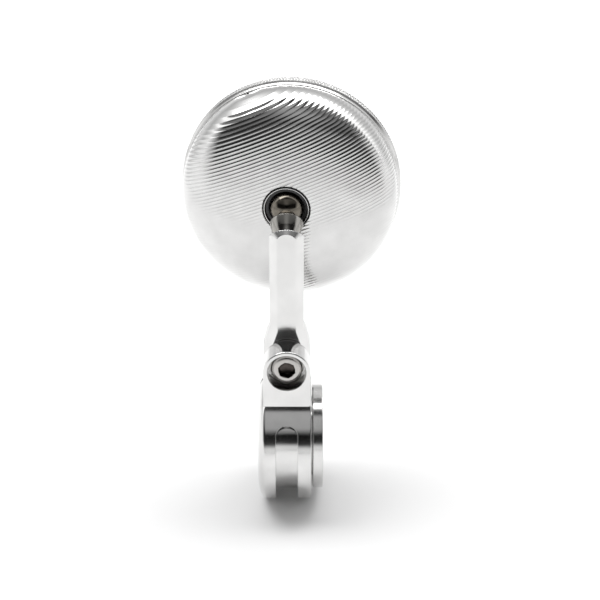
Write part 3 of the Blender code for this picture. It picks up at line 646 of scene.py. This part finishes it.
def make_materials():
    return {
        "clamp": metal("anodised_clamp", SILVER, 0.13, ALONG_X, mark=0.003),
        "sleeve": metal("anodised_sleeve", SILVER, 0.16, ALONG_X, mark=0.004),
        "arm": metal("anodised_arm", SILVER, 0.17, Matrix.Identity(4), turned_marks=False,
                     grain=(1.5, 1.5, 0.06), mark=0.002),
        "dome": metal("scalloped_dome", (0.705, 0.703, 0.698), 0.11, HEAD, turned_marks=False,
                      grain=(0.3, 0.3, 0.3), mark=0.001, edge=0.1),
        "bezel": metal("knurled_bezel", SILVER, 0.17, HEAD, mark=0.002, edge=0.05),
        "spigot": metal("threaded_spigot", SILVER, 0.25, HEAD, mark=0.004, edge=0.05),
        # painted shade: the ball and neck are darkened where they sit in the housing's hole
        "stud": painted_recess_shade(metal("polished_stud", (0.36, 0.35, 0.33), 0.13, STUD, mark=0.004, edge=0.15),
                        STUD, -COLLAR_FAR + 0.2, 8, 8, (0.13, 0.118, 0.10)),
        # painted shade: the inside of the hex socket's recess is darkened
        "screw": painted_recess_shade(metal("stainless_screw", (0.50, 0.485, 0.47), 0.20, BOLT, mark=0.005, edge=0.15),
                         BOLT, SCREW_TOP + 0.3, SCREW_TOP + 4.5, HEX_ACROSS / 2 + 0.45,
                         (0.06, 0.052, 0.048)),
        "washer": metal("stainless_washer", (0.55, 0.54, 0.52), 0.28, BOLT, mark=0.006, edge=0.1),
        "insert": metal("steel_insert", (0.58, 0.57, 0.55), 0.30, BOLT, mark=0.006, edge=0.1),
        "bush": metal("bronze_bush", (0.66, 0.44, 0.20), 0.34, BOLT, mark=0.008, edge=0.1),
        "cup": metal("turned_cup", (0.55, 0.54, 0.52), 0.32, HEAD, mark=0.006, edge=0.1),
        "spring": metal("spring_steel_blued", (0.30, 0.31, 0.36), 0.25, HEAD, mark=0.004, edge=0.05),
        "plate": metal("zinc_plate", (0.62, 0.62, 0.60), 0.38, HEAD, turned_marks=False, grain=(2, 0.1, 1),
                       mark=0.006, edge=0.1),
        "small_screw": metal("zinc_screw", (0.45, 0.45, 0.45), 0.34, HEAD, mark=0.004, edge=0.05),
        "acetal": moulded("black_acetal", (0.012, 0.012, 0.012), 0.22, scale=3.0, depth=0.004),
        "nylon": moulded("black_nylon", (0.02, 0.02, 0.02), 0.5),
        "ptfe": moulded("white_ptfe", (0.78, 0.77, 0.72), 0.45, worn=1.08),
        "tray": moulded("black_tray", (0.03, 0.03, 0.03), 0.55, depth=0.03),
        "foam": moulded("foam_pad", (0.09, 0.09, 0.09), 0.92, scale=2.5, depth=0.12),
        "gasket": moulded("black_gasket", (0.018, 0.018, 0.018), 0.7, depth=0.02),
        "glass": silvered("silvered_glass"),
    }


# ---------------------------------------------------------------- scene

def fit_piece(item, body, slot, surface, *nodes):
    item.data.materials.clear()
    item.data.materials.append(surface)
    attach(item, body)
    if nodes:
        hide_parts(*nodes)


def dress(node, surface):
    """A carried-over CAD node takes a better material and smooth round faces."""
    item = frame["nodes"][node]
    item.data.materials.clear()
    item.data.materials.append(surface)
    smooth(item)


def make_object():
    looks = make_materials()
    fit_piece(make_clamp(), "clamp", "clamp_aluminium", looks["clamp"], "clamp_body")
    fit_piece(make_sleeve(), "clamp", "sleeve_aluminium", looks["sleeve"], "reducing_sleeve")
    fit_piece(make_cap_screw(), "clamp", "bolt_steel", looks["screw"], "pinch_bolt")
    low = COUNTERBORE_FLOOR - WASHER_THICK - 0.1
    screw_washer = tube("screw_washer", WASHER_BORE, WASHER_RADIUS, low, low + WASHER_THICK, BOLT)
    fit_piece(screw_washer, "clamp", "washer_steel", looks["washer"], "bolt_washer")
    nut_insert = tube("nut_insert", SHANK_RADIUS + 0.25, INSERT_HOLE - 0.25,
                      SLOT_BACK + 0.3, EAR_BACK - 0.3, BOLT)
    fit_piece(nut_insert, "clamp", "insert_steel", looks["insert"], "thread_insert")
    front_washer = tube("front_washer", FRICTION_BORE, FRICTION_RADIUS,
                        SLOT_FRONT + 0.1, ARM_FRONT - 0.1, BOLT, 0.05)
    fit_piece(front_washer, "clamp", "front_washer_nylon", looks["nylon"], "front_friction_washer")
    rear_washer = tube("rear_washer", FRICTION_BORE, FRICTION_RADIUS,
                       ARM_BACK + 0.1, SLOT_BACK - 0.1, BOLT, 0.05)
    fit_piece(rear_washer, "clamp", "rear_washer_nylon", looks["nylon"], "rear_friction_washer")

    fit_piece(make_arm(), "arm", "arm_aluminium", looks["arm"], "arm")
    eye_bush = tube("eye_bush", BUSH_BORE, BUSH_RADIUS, ARM_FRONT + 0.1, ARM_BACK - 0.1, BOLT, 0.15)
    fit_piece(eye_bush, "arm", "bush_bronze", looks["bush"], "pivot_bush")
    fit_piece(make_stud(), "arm", "stud_steel", looks["stud"], "ball_stud")

    fit_piece(make_dome(), "head", "dome_aluminium", looks["dome"], "mirror_housing")
    fit_piece(make_spigot(), "head", "dome_aluminium", looks["spigot"])
    fit_piece(make_bezel(), "head", "bezel_aluminium", looks["bezel"], "bezel")
    fit_piece(make_socket_ring(), "head", "seat_acetal", looks["acetal"], "seat_ring")
    hole_lip = tube("hole_lip", LIP_BORE, LIP_RADIUS, HOLE_HEIGHT, LIP_HEIGHT - 0.01, HEAD, 0.05)
    fit_piece(hole_lip, "head", "dome_aluminium", looks["bezel"])
    fit_piece(make_glass(), "head", "mirror_glass", looks["glass"], "mirror_glass")

    dress("ball_liner", looks["ptfe"])
    dress("cup_liner", looks["ptfe"])
    dress("pressure_cup", looks["cup"])
    dress("preload_spring", looks["spring"])
    dress("retainer_plate", looks["plate"])
    for i in (1, 2, 3):
        dress(f"plate_screw_{i}", looks["small_screw"])
    dress("glass_tray", looks["tray"])
    dress("adhesive_pad", looks["foam"])
    dress("glass_gasket", looks["gasket"])


def make_floor():
    half = 4.0
    mesh = bpy.data.meshes.new("floor")
    low = CAD_BOX[0].z
    mesh.from_pydata([(-half, -half, low), (half, -half, low), (half, half, low), (-half, half, low)], [],
                     [(0, 1, 2, 3)])
    item = bpy.data.objects.new("floor", mesh)
    bpy.context.scene.collection.objects.link(item)
    made, _, shader = start_material("paper_floor")
    shader.inputs["Base Color"].default_value = (0.93, 0.93, 0.93, 1)
    shader.inputs["Roughness"].default_value = 0.8
    shader.inputs["Specular IOR Level"].default_value = 0.1
    mesh.materials.append(made)


# Brightness of the tent round the object, by the angle from the front horizon over the top, in degrees
TENT = ((0, 0.90), (7, 0.85), (14, 0.03), (32, 0.0), (43, 0.44), (74, 0.48), (77, 0.02), (89, 0.02),
        (93, 1.5), (125, 1.5), (143, 0.85), (160, 0.60), (174, 0.85), (180, 0.92))
TENT_FLANK = ((0, 0.90), (5, 0.80), (11, 0.03), (34, 0.02), (44, 0.18), (70, 0.30), (76, 0.04), (82, 0.06),
              (97, 1.5), (125, 1.5), (143, 0.85), (160, 0.60), (174, 0.85), (180, 0.92))
SIDE_WALL = 1.12           # brightness of the tent's sides
FLANK_START, FLANK_END = 0.08, 0.36     # sideways share where the flank's brightness takes over
WALL_START, WALL_END = 0.86, 0.97       # and where the plain side does
SIDE_PULL = 0.15           # how far a sideways direction still counts as front or back

SOFTBOX_SIZE, SOFTBOX_POWER = (1.5, 0.6), 11.0                               # metres and watts
SOFTBOX_PLACE, SOFTBOX_AIM = (-0.08, 0.36, 1.05), (0, 0.02, 0.05)            # metres
CAMERA_TARGET, CAMERA_DISTANCE, CAMERA_RISE = (4.17, 0, 49.6), 430, radians(26.5)
CAMERA_LENS, SENSOR_WIDTH = 82.5, 36


def tent_ramp(tree, turn, table):
    ramp = add(tree, "ValToRGB", {"Fac": turn})
    elements = ramp.color_ramp.elements
    while len(elements) < len(table):
        elements.new(0.5)
    for element, (place, level) in zip(elements, table):
        element.position = place / 180
        element.color = (level, level, level, 1)
    return ramp.outputs[0]


def make_tent():
    """A light tent whose brightness changes from front to back, with plain bright sides.

    A direction's place in the tables is its angle from the front horizon over the top to the back.
    """
    world = bpy.data.worlds.new("tent")
    bpy.context.scene.world = world
    world.use_nodes = True
    tree = world.node_tree
    place = add(tree, "TexCoord")
    parts = add(tree, "SeparateXYZ", {0: place.outputs["Generated"]})
    across = add(tree, "Math", {0: parts.outputs[0], 1: parts.outputs[0]}, operation="MULTIPLY")
    depth = add(tree, "Math", {0: parts.outputs[1], 1: parts.outputs[1], 2: SIDE_PULL},
                operation="MULTIPLY_ADD")
    share = add(tree, "Math", {0: across.outputs[0], 1: depth.outputs[0]}, operation="DIVIDE")
    whole = add(tree, "Math", {0: share.outputs[0], 1: 1.0}, operation="ADD")
    stretch = add(tree, "Math", {0: whole.outputs[0], 1: 0.5}, operation="POWER")
    level = add(tree, "Math", {0: parts.outputs[1], 1: stretch.outputs[0]}, operation="MULTIPLY")
    front = add(tree, "Math", {0: level.outputs[0], 1: -1.0}, operation="MULTIPLY")
    angle = add(tree, "Math", {0: parts.outputs[2], 1: front.outputs[0]}, operation="ARCTAN2")
    turn = add(tree, "Math", {0: angle.outputs[0], 1: 1 / pi}, operation="MULTIPLY")
    sideways = add(tree, "Math", {0: parts.outputs[0]}, operation="ABSOLUTE")
    flank = add(tree, "MapRange", {"Value": sideways.outputs[0], "From Min": FLANK_START,
                                   "From Max": FLANK_END})
    sky = add(tree, "MixRGB", {"Fac": flank.outputs[0], "Color1": tent_ramp(tree, turn.outputs[0], TENT),
                               "Color2": tent_ramp(tree, turn.outputs[0], TENT_FLANK)})
    wall = add(tree, "MapRange", {"Value": sideways.outputs[0], "From Min": WALL_START,
                                  "From Max": WALL_END})
    mixed = add(tree, "MixRGB", {"Fac": wall.outputs[0], "Color1": sky.outputs[0],
                                 "Color2": (SIDE_WALL, SIDE_WALL, SIDE_WALL, 1)})
    glow = tree.nodes["Background"]
    tree.links.new(mixed.outputs[0], glow.inputs["Color"])
    glow.inputs["Strength"].default_value = 1.0


def make_softbox():
    """One large soft light overhead, a little behind the object."""
    lamp = bpy.data.lights.new("softbox", "AREA")
    lamp.shape = "RECTANGLE"
    lamp.size, lamp.size_y = SOFTBOX_SIZE
    lamp.energy = SOFTBOX_POWER
    item = bpy.data.objects.new("softbox", lamp)
    bpy.context.scene.collection.objects.link(item)
    centre = Vector(SOFTBOX_PLACE)
    item.location = centre
    item.rotation_euler = (Vector(SOFTBOX_AIM) - centre).to_track_quat("-Z", "Y").to_euler()


def make_camera():
    target = Vector(CAMERA_TARGET) * MM
    distance, elevation = CAMERA_DISTANCE * MM, CAMERA_RISE
    camera = bpy.data.cameras.new("camera")
    camera.sensor_width = SENSOR_WIDTH
    camera.lens = CAMERA_LENS
    camera.clip_start = 0.01
    item = bpy.data.objects.new("camera", camera)
    bpy.context.scene.collection.objects.link(item)
    item.location = target + Vector((0, -cos(elevation), sin(elevation))) * distance
    item.rotation_euler = (target - item.location).to_track_quat("-Z", "Y").to_euler()
    bpy.context.scene.camera = item


make_object()
make_floor()
make_tent()
make_softbox()
make_camera()
bpy.context.scene.view_settings.view_transform = "Standard"
